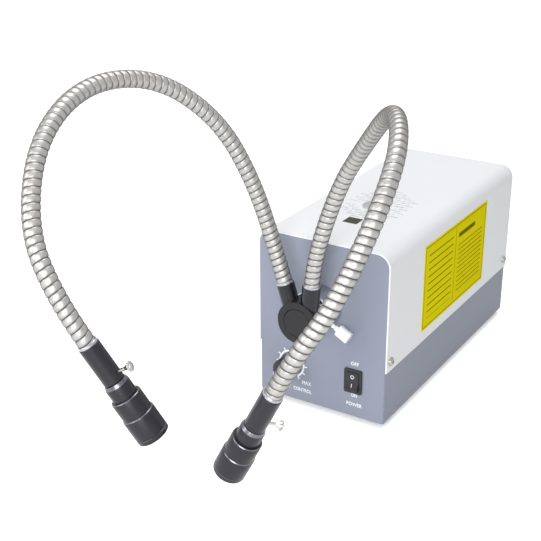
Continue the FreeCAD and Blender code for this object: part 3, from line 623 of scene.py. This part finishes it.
def bright_rings(piece, side, *bands):
    end, turn = head_place(side)
    upright = (Matrix.Translation(end / 1000) @ turn).inverted()
    # the chamfer rings get the grey metal: a painted glint where they catch the light
    piece.data.materials.append(FINISHES["screw_grey_and_glint"])
    count = 0
    for face in piece.data.polygons:
        spot = (upright @ face.center) * 1000
        if spot.xy.length > OUTSIDE and any(low < spot.z < high for low, high in bands):
            face.material_index = 1
            count += 1
    print(piece.name, count, "bright faces")


for side in ROUTES:
    print(side, "head starts at", [round(part, 1) for part in head_place(side)[0]], "mm")


# %% [markdown]
# Barrel and hood are closed rings in section, so each line comes back to its first point.
# The barrel sits over the focus tube, and the hood over the barrel's front.

# %% Barrels and hoods
def barrel_and_hood(side):
    collar, shoulder, front, mouth = (SLEEVE + along for along in (0.3, 12.6, 26.8, 46.8))
    end, turn = head_place(side)
    barrel = turned(side + "_barrel_turned", [
        (5.6, collar), (7.5, collar), (8.65, collar + 2.3), (8.75, collar + 2.6),
        (8.75, shoulder - 0.1), (10.1, shoulder), (10.65, shoulder + 0.55),
        (10.75, shoulder + 0.8), (10.75, front), (9, front), (9, front - 8), (6, shoulder),
        (5.6, shoulder - 3), (5.6, collar)], steps=72)
    set_in_place(barrel, end, turn)
    fitted(barrel, side + "_head", "black_anodised", side + "_lens_barrel")
    bright_rings(barrel, side, (collar + 0.05, collar + 2.4), (shoulder + 0.02, shoulder + 0.6))
    hood = turned(side + "_hood_turned", [
        (7.5, front), (10.85, front), (11.4, front + 0.6), (11.5, front + 0.85),
        (11.5, mouth - 4.2), (11.15, mouth - 3.95), (11.15, mouth - 3.65), (11.5, mouth - 3.4),
        (11.5, mouth - 1.2), (11.3, mouth - 0.5), (10.8, mouth - 0.1), (10.4, mouth),
        (9.9, mouth), (9.5, mouth - 0.4), (9.5, front + 9), (7.5, front + 9), (7.5, front)],
        steps=72)
    set_in_place(hood, end, turn)
    fitted(hood, side + "_head", "black_anodised", side + "_lens_hood")
    bright_rings(hood, side, (front + 0.02, front + 0.65), (mouth - 3.65, mouth - 3.4))


for side in ROUTES:
    barrel_and_hood(side)
print("two barrels, two hoods")


# %% [markdown]
# Small set screws hold each head together, one in the collar and one in the barrel, on
# opposite sides.  Each is a steel plug with a socket in its end: a cylinder whose top face
# is inset and pushed down.  Its middle lies 0.7 mm deep, so a tenth of a millimetre of it
# stands out.

# %% Set screws
SUNK = 0.7


def take_top(piece):
    mesh = bmesh.from_edit_mesh(piece.data)
    highest = max(face.calc_center_median().z for face in mesh.faces)
    for face in mesh.faces:
        face.select = highest - face.calc_center_median().z < 0.000001
    mesh.select_flush_mode()
    bmesh.update_edit_mesh(piece.data)


def set_screw(side, where, height, radius, swing):
    bpy.ops.mesh.primitive_cylinder_add(vertices=24, radius=0.0011, depth=0.0016)
    screw = bpy.context.object
    screw.name = f"{side}_{where}_set_screw"
    bpy.ops.object.mode_set(mode="EDIT")
    bpy.ops.mesh.select_mode(type="FACE")
    take_top(screw)
    bpy.ops.mesh.inset(thickness=0.0005)
    bpy.ops.transform.translate(value=(0, 0, -0.0006))
    bpy.ops.object.mode_set(mode="OBJECT")
    smooth(screw)
    end, turn = head_place(side)
    out = (turn @ Matrix.Rotation(math.radians(swing), 4, "Z")) @ Vector((1, 0, 0))
    spot = end + turn @ Vector((0, 0, SLEEVE + height)) + out * (radius - SUNK)
    set_in_place(screw, spot, facing(out, (0.1, 0.2, 1)))
    fitted(screw, side + "_head", "nickel", look="screw_grey_and_glint")


for side, collar_swing in (("left", 64), ("right", 224)):
    set_screw(side, "collar", height=6, radius=8.75, swing=collar_swing)
    set_screw(side, "barrel", height=14.6, radius=10.75, swing=collar_swing + 180)
print("four set screws")


# %% [markdown]
# ## Thumbscrews on the sleeves
# The screw that clamps a head is a nickel trumpet: a thin shank flares into a disc with a
# notched rim.  The trumpet is turned.  Small cylinders could cut the notches out of a disc,
# but a Boolean leaves ragged corners.  So the disc starts as a circle, and every fourth
# corner is drawn in towards the middle before the shape is extruded.  A narrow bevel then
# takes the sharpness off its edges.

# %% Notched disc
def notched_disc(name, radius, notch, height, teeth, at):
    bpy.ops.mesh.primitive_circle_add(vertices=teeth * 4, radius=radius, fill_type="NGON",
                                      location=(0, 0, at))
    disc = bpy.context.object
    disc.name = name
    bpy.ops.object.transform_apply(location=True, rotation=False, scale=False)
    bpy.ops.object.mode_set(mode="EDIT")
    bpy.ops.mesh.select_mode(type="VERT")
    mesh = bmesh.from_edit_mesh(disc.data)
    for corner in mesh.verts:
        turn = math.atan2(corner.co.y, corner.co.x) / math.tau * teeth * 4
        corner.select = round(turn) % 4 == 0
    mesh.select_flush_mode()
    bmesh.update_edit_mesh(disc.data)
    draw = notch / radius
    bpy.ops.transform.resize(value=(draw, draw, 1), center_override=(0, 0, at))
    bpy.ops.mesh.select_all(action="SELECT")
    bpy.ops.mesh.extrude_region_move(TRANSFORM_OT_translate={"value": (0, 0, height)})
    leave_with_normals_out()
    print(name, "with", teeth, "notches")
    return disc


def soften(piece, width):
    edge = piece.modifiers.new("soft_edge", "BEVEL")
    edge.width = width
    edge.segments = 2
    edge.limit_method = "ANGLE"
    apply_modifier(piece, "soft_edge")


def joined(name, first, *others):
    bpy.ops.object.select_all(action="DESELECT")
    for piece in (first, *others):
        piece.select_set(True)
    bpy.context.view_layer.objects.active = first
    bpy.ops.object.join()
    first.name = first.data.name = name
    return first


# %% [markdown]
# Trumpet and disc are joined to one screw for each head.  It stands out of the sleeve at
# right angles, 5 mm short of the sleeve's end, and turns with the joint that clamps the
# head.

# %% Lens thumbscrews
def lens_thumbscrew(side):
    trumpet = turned(side + "_trumpet", [
        (0, 5.6), (1.25, 5.6), (1.25, 11.8), (1.4, 12.6), (1.8, 13.5), (2.3, 14.6), (2.8, 15.6),
        (3.1, 16.1), (3.1, 16.9), (1.9, 17.0), (1.7, 17.35), (0, 17.4)], steps=32)
    disc = notched_disc(side + "_disc", radius=0.00375, notch=0.0032, height=0.0012, teeth=12,
                        at=0.0158)
    soften(disc, 0.0002)
    screw = joined(side + "_thumbscrew_turned", trumpet, disc)
    smooth(screw, 40)
    end, turn = head_place(side)
    out = turn @ Vector((1, 0, 0))
    set_in_place(screw, end + turn @ Vector((0, 0, SLEEVE - 5)), facing(out, (0.1, 0.2, 1)))
    fitted(screw, side + "_clamp", "nickel", side + "_lens_thumbscrew")


for side in ROUTES:
    lens_thumbscrew(side)
print("two lens thumbscrews")


# %% [markdown]
# ## The dimmer knob
# The knob is moulded in black, with flutes for the fingers above a plain skirt.  The fluted
# grip is made like the notched disc, only taller.  PANEL is the front panel's place, and
# OUTWARD turns a piece that was made upright so that it faces out of it.

# %% Dimmer knob
PANEL = -131
KNOB = (-28, PANEL, 37.5)
OUTWARD = facing((0, -1, 0), (1, 0, 0))


def dimmer_knob():
    skirt = turned("knob_skirt", [
        (7.2, 0.8), (9.5, 0.8), (9.8, 1.1), (9.8, 3.1), (9.5, 3.5), (8.4, 3.8), (8.4, 7.9),
        (7.2, 7.9), (7.2, 0.8)], steps=64)
    grip = notched_disc("knob_grip", radius=0.0093, notch=0.0086, height=0.0119, teeth=20,
                        at=0.0038)
    soften(grip, 0.00035)
    face = turned("knob_face", [
        (0, 15.4), (7.8, 15.4), (8.1, 15.8), (7.9, 16.4), (7.3, 16.7), (0, 16.8)], steps=64)
    knob = joined("knob_fluted", skirt, grip, face)
    smooth(knob, 35)
    set_in_place(knob, KNOB, OUTWARD)
    fitted(knob, "dimmer", "black_plastic", "dimmer_knob")


dimmer_knob()
print("knob", [round(side * 1000, 1) for side in bpy.data.objects["knob_fluted"].dimensions], "mm")


# %% [markdown]
# ## Marks in white paint
# Paint and print are thin, but not flat.  A texture could show them, and would blur close
# up.  Here a mark is a plane of its size, extruded by a tenth of a millimetre and partly
# sunk into the surface.  The same bar serves for the knob's line, the ticks of the dial
# and the stroke on the switch.  The first one is the knob's line: at rest the knob is
# turned fully down, 150 degrees to the left of the top.

# %% A painted bar
WHITE_PRINT = finish("white_print", (0.9, 0.91, 0.94), 0.5)
PRINT = 0.0001
LOWEST = math.radians(150)


def painted(piece, place, turn, body):
    set_in_place(piece, place, turn)
    piece.data.materials.clear()
    piece.data.materials.append(WHITE_PRINT)
    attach(piece, body)


def painted_bar(name, size, middle, place, turn, body):
    middle = [part / 1000 for part in middle]
    bpy.ops.mesh.primitive_plane_add(size=0.001, location=middle)
    bar = bpy.context.object
    bar.name = name
    bpy.ops.object.transform_apply(location=True, rotation=False, scale=False)
    edit_all()
    bpy.ops.transform.resize(value=(*size, 1), center_override=middle)
    bpy.ops.mesh.extrude_region_move(TRANSFORM_OT_translate={"value": (0, 0, PRINT)})
    leave_with_normals_out()
    painted(bar, place, turn, body)


painted_bar("knob_line", (1.3, 6.2), (0, 4.2, 16.72), KNOB,
            OUTWARD @ Matrix.Rotation(LOWEST, 4, "Z"), "dimmer")
print("the knob's line stands at", round(math.degrees(LOWEST)), "degrees from the top")


# %% [markdown]
# The dial is an arc round the knob with eleven ticks.  The arc is a small rectangle spun
# through the knob's 300 degrees, and spin leaves its two ends open, so they are filled.
# The knob hides nothing of it, because the arc lies outside the skirt.

# %% Dial scale
ARC_INSIDE, ARC_OUTSIDE, TICKS = 0.0109, 0.0124, 11


def dial_arc():
    low, high = -PRINT / 2, PRINT / 2
    arc = drawn_line("dial_arc", [
        (ARC_INSIDE, low), (ARC_OUTSIDE, low), (ARC_OUTSIDE, high), (ARC_INSIDE, high),
        (ARC_INSIDE, low)])
    merged(arc)
    edit_all()
    bpy.ops.mesh.spin(steps=60, angle=2 * LOWEST, center=(0, 0, 0), axis=(0, 0, 1))
    bpy.ops.mesh.select_all(action="SELECT")
    bpy.ops.mesh.fill_holes(sides=4)
    bpy.ops.object.mode_set(mode="OBJECT")
    merged(arc, 0.000001)
    angles = [math.degrees(math.atan2(vertex.co.y, vertex.co.x)) % 360
              for vertex in arc.data.vertices]
    print("the arc runs from", round(min(angles)), "to", round(max(angles)), "degrees")
    painted(arc, KNOB, OUTWARD @ Matrix.Rotation(math.radians(240), 4, "Z"), "case")


dial_arc()
for step in range(TICKS):
    turn = OUTWARD @ Matrix.Rotation(LOWEST * (1 - 2 * step / (TICKS - 1)), 4, "Z")
    painted_bar(f"dial_tick_{step}", (1.2, 2.6), (0, 13.5, -0.05), KNOB, turn, "case")
print(TICKS, "ticks,", round(math.degrees(2 * LOWEST / (TICKS - 1))), "degrees apart")


# %% [markdown]
# ## Words on the panel
# The words are screen printed in bold letters.  A text object is about a metre high at
# first.  It is made a mesh and fattened a little along its normals.  Then its middle is set
# on the origin and it is scaled to the width and height that the word has on the panel.
# Each row of the table gives a word, its place across and up the panel, its width and its
# height.

# %% Printed words
THIN, BOLDER = 0.02, 0.026


def printed(words, x, z, width, height):
    bpy.ops.object.text_add(location=(0, 0, 0))
    text = bpy.context.object
    text.data.body = words
    text.data.extrude = THIN
    text.data.resolution_u = 3
    bpy.ops.object.convert(target="MESH")
    word = bpy.context.object
    word.name = "print_" + words.lower()
    merged(word, 0.0001)
    edit_all()
    bpy.ops.transform.shrink_fatten(value=BOLDER)
    bpy.ops.object.mode_set(mode="OBJECT")
    bpy.ops.object.origin_set(type="ORIGIN_GEOMETRY", center="BOUNDS")
    word.location = (0, 0, 0)
    bpy.context.view_layer.update()
    word.dimensions = (width / 1000, height / 1000, PRINT)
    bpy.ops.object.transform_apply(location=False, rotation=False, scale=True)
    painted(word, (x, PANEL, z), OUTWARD, "case")


WORDS = [
    ("OFF", 31.6, 53.4, 7.2, 3.4), ("ON", 31.6, 24.4, 5.2, 3.4), ("POWER", 31.9, 15.8, 14.2, 3.4),
    ("MIN", -42.7, 22.6, 7.4, 3.3), ("MAX", -13.3, 22.6, 8.5, 3.3),
    ("LIGHT", -34.8, 15.1, 12.2, 3.3), ("CONTROL", -17.3, 15.1, 17.6, 3.3),
]
for word in WORDS:
    printed(*word)
print(len(WORDS), "printed words")


# %% [markdown]
# ## A plain block
# The rocker's ribs start as blocks, and so do the blades that cut the cover screws.  A cube
# could be scaled as an object, but then its scale would have to be applied.  So a cube of
# one millimetre is scaled in edit mode about its own middle: its size reads in millimetres.

# %% A block
def block(name, size, middle):
    bpy.ops.mesh.primitive_cube_add(size=0.001, location=middle)
    made = bpy.context.object
    made.name = name
    edit_all()
    bpy.ops.transform.resize(value=size, center_override=middle)
    bpy.ops.object.mode_set(mode="OBJECT")
    bpy.ops.object.transform_apply(location=True, rotation=False, scale=False)
    print(name, "block of", size, "mm")
    return made


# %% [markdown]
# ## The rocker
# The rocker's key has a face that dips in the middle, by 1.4 mm over 6.6, and ribs on the
# half that is pressed to switch on.  The key could be carved from a block, but its side
# view tells all of its shape.  So that is drawn, filled and extruded to the key's width.
# Each rib is a small block with soft edges, set on the lower half of the face.  The key
# rests pressed at its top, so the whole is turned by ten degrees about the pivot.

# %% Rocker key
PIVOT = (30.8, PANEL, 37.8)
PRESSED = Matrix.Rotation(math.radians(-10), 4, "X")
DIP = math.atan2(1.4, 6.6)
FACE_OUT, FACE_UP = 0.00321, 0.0039
KEY_WIDTH = 0.0109
RIBS = (-4.6, -3.6, -2.6, -1.6, 1.6, 2.6, 3.6, 4.6)


def half_face(up):
    normal = (0, -math.cos(DIP), -up * math.sin(DIP))
    middle = Matrix.Translation((0, -FACE_OUT, up * FACE_UP))
    return PRESSED @ middle @ facing(normal, (1, 0, 0))


def rocker_rib(name, x):
    rib = block(name, (0.5, 5.4, 0.6), (x / 1000, -0.0002, 0))
    soften(rib, 0.0001)
    rib.matrix_world = half_face(-1)
    bpy.ops.object.transform_apply(location=True, rotation=True, scale=True)
    return rib


def rocker_key():
    key = drawn_line("rocker_key", [(y / 1000, z / 1000) for y, z in (
        (-2.5, 0.5), (-3.85, 7.0), (-3.75, 7.4), (-3.4, 7.7), (-2.5, 8.0), (2, 7.9), (6, 3),
        (6, -3), (2, -7.9), (-2.5, -8.0), (-3.4, -7.7), (-3.75, -7.4), (-3.85, -7.0),
        (-2.5, -0.5), (-2.42, 0), (-2.5, 0.5))])
    merged(key)
    edit_all()
    bpy.ops.mesh.edge_face_add()
    bpy.ops.transform.translate(value=(0, -KEY_WIDTH / 2, 0))
    bpy.ops.mesh.extrude_region_move(TRANSFORM_OT_translate={"value": (0, KEY_WIDTH, 0)})
    leave_with_normals_out()
    soften(key, 0.0003)
    key.matrix_world = PRESSED @ Matrix.Rotation(math.radians(90), 4, "Z")
    bpy.ops.object.transform_apply(location=True, rotation=True, scale=True)
    ribs = [rocker_rib(f"rib_{k}", x) for k, x in enumerate(RIBS)]
    key = joined("rocker_ribbed", key, *ribs)
    smooth(key, 30)
    set_in_place(key, PIVOT)
    fitted(key, "rocker", "black_plastic", "switch_rocker")


rocker_key()


# %% [markdown]
# The two halves carry the usual signs: a ring for off and a stroke for on.

# %% Switch signs
ring = turned("off_ring", [
    (1.2, -0.05), (1.7, -0.05), (1.7, 0.07), (1.2, 0.07), (1.2, -0.05)], steps=32)
painted(ring, PIVOT, half_face(1), "rocker")
painted_bar("on_stroke", (0.55, 3.2), (0, 0.4, -0.03), PIVOT, half_face(-1), "rocker")
print("a ring on the upper half, a stroke on the lower")


# %% [markdown]
# ## Screws in the cover
# Four pan head screws hold the white cover to the tray.  A head is turned with its shank,
# and two blocks cut a cross into it with a Boolean modifier.  One screw is made and copied
# to the four corners.  Dissolving what has no length clears the slivers that cuts leave.

# %% Cover screws
HEAD_TOP = 2.3
CROSS = ((0.85, 3.9, 2.5), (3.9, 0.85, 2.3))
COVER_SIDE, SCREW_REACH, SCREW_HEIGHT = 60, 124, 60.5


def pan_screw():
    screw = turned("pan_screw", [
        (0, -6), (1.95, -6), (1.95, 0), (3.6, 0), (3.6, 0.6), (3.45, 1.1), (3.0, 1.65),
        (2.2, 2.1), (1.2, 2.28), (0, HEAD_TOP)], steps=40)
    for size in CROSS:
        blade = block("blade", size, (0, 0, HEAD_TOP / 1000))
        cutting = screw.modifiers.new("cross", "BOOLEAN")
        cutting.object = blade
        cutting.operation = "DIFFERENCE"
        apply_modifier(screw, "cross")
        bpy.data.objects.remove(blade)
    only(screw)
    edit_all()
    bpy.ops.mesh.dissolve_degenerate(threshold=0.000005)
    bpy.ops.object.mode_set(mode="OBJECT")
    merged(screw)
    smooth(screw, 35)
    return screw


first_screw = pan_screw()
screws = []
for side in (-1, 1):
    for end in (-1, 1):
        screw = first_screw.copy()
        screw.data = first_screw.data.copy()
        scene.collection.objects.link(screw)
        set_in_place(screw, (COVER_SIDE * side, SCREW_REACH * end, SCREW_HEIGHT),
                     facing((side, 0, 0), (0, 0.4, 1)))
        screws.append(screw)
bpy.data.objects.remove(first_screw)
fitted(joined("cover_screws_crossed", *screws), "case", "nickel", "cover_screws",
       look="dull_nickel")
print("four cover screws,", len(screws[0].data.polygons), "faces")


# %% [markdown]
# ## A white ground that keeps its shadow
# The ground is white where the camera or a mirror sees it, but it must not pour more light on
# the object.  Light Path tells the rays apart: for camera, glossy and transmitted rays the
# floor adds a little glow of its own, which lifts it to white and leaves the shadow.  Far
# from the lamps the floor gets a little more, so that no horizon shows.  Close under the
# case it gets less: the Ambient Occlusion node tells where, so a painted contact shadow, a
# dark line, marks the gap.

# %% Floor
GLOW, MORE_FAR_OFF = 0.76, 0.1
FAR_FROM, FAR_TO = 0.7, 3.0
GAP = 0.006


def seen_rays(tree):
    path = tree.nodes.new("ShaderNodeLightPath")
    camera_ray = Wire(tree, path.outputs["Is Camera Ray"])
    glossy_ray = Wire(tree, path.outputs["Is Glossy Ray"])
    clear_ray = Wire(tree, path.outputs["Is Transmission Ray"])
    return camera_ray.maths("MAXIMUM", glossy_ray).maths("MAXIMUM", clear_ray)


def table_top():
    bpy.ops.mesh.primitive_plane_add(size=30, location=(0, 0, 0))
    floor = bpy.context.object
    floor.name = "floor"
    white = finish("table_white", (0.8, 0.8, 0.8), 0.8, shine=0)
    tree = white.node_tree
    place = Wire(tree, tree.nodes.new("ShaderNodeTexCoord").outputs["Object"])
    distance = place.node("ShaderNodeVectorMath", {"operation": "LENGTH"}, {0: place}, out=1)
    far = distance.node("ShaderNodeMapRange", values={
        "Value": distance, "From Min": FAR_FROM, "From Max": FAR_TO})
    # the glow fades under the case: a painted contact shadow
    open_sky = far.node("ShaderNodeAmbientOcclusion", values={"Distance": GAP}, out=1)
    glow = seen_rays(tree) * (far * MORE_FAR_OFF + GLOW) * open_sky
    shader = tree.nodes["Principled BSDF"]
    shader.inputs["Emission Strength"].default_value = 1
    tree.links.new(glow.socket, shader.inputs["Emission Color"])
    floor.data.materials.append(white)


table_top()


# %% [markdown]
# The world does the same.  It looks white, and metal mirrors it white, but as a lamp it is
# only a fifth as strong, so that the soft lamps still shape the object.

# %% Sky
AS_A_LAMP = 0.2
world = bpy.data.worlds.new("sky")
scene.world = world
world.use_nodes = True
sky = world.node_tree
level = seen_rays(sky) * (1 - AS_A_LAMP) + AS_A_LAMP
background = sky.nodes["Background"]
background.inputs["Color"].default_value = (1, 1, 1, 1)
sky.links.new(level.socket, background.inputs["Strength"])
print("the sky is white to the eye and lights at", AS_A_LAMP, "of that")
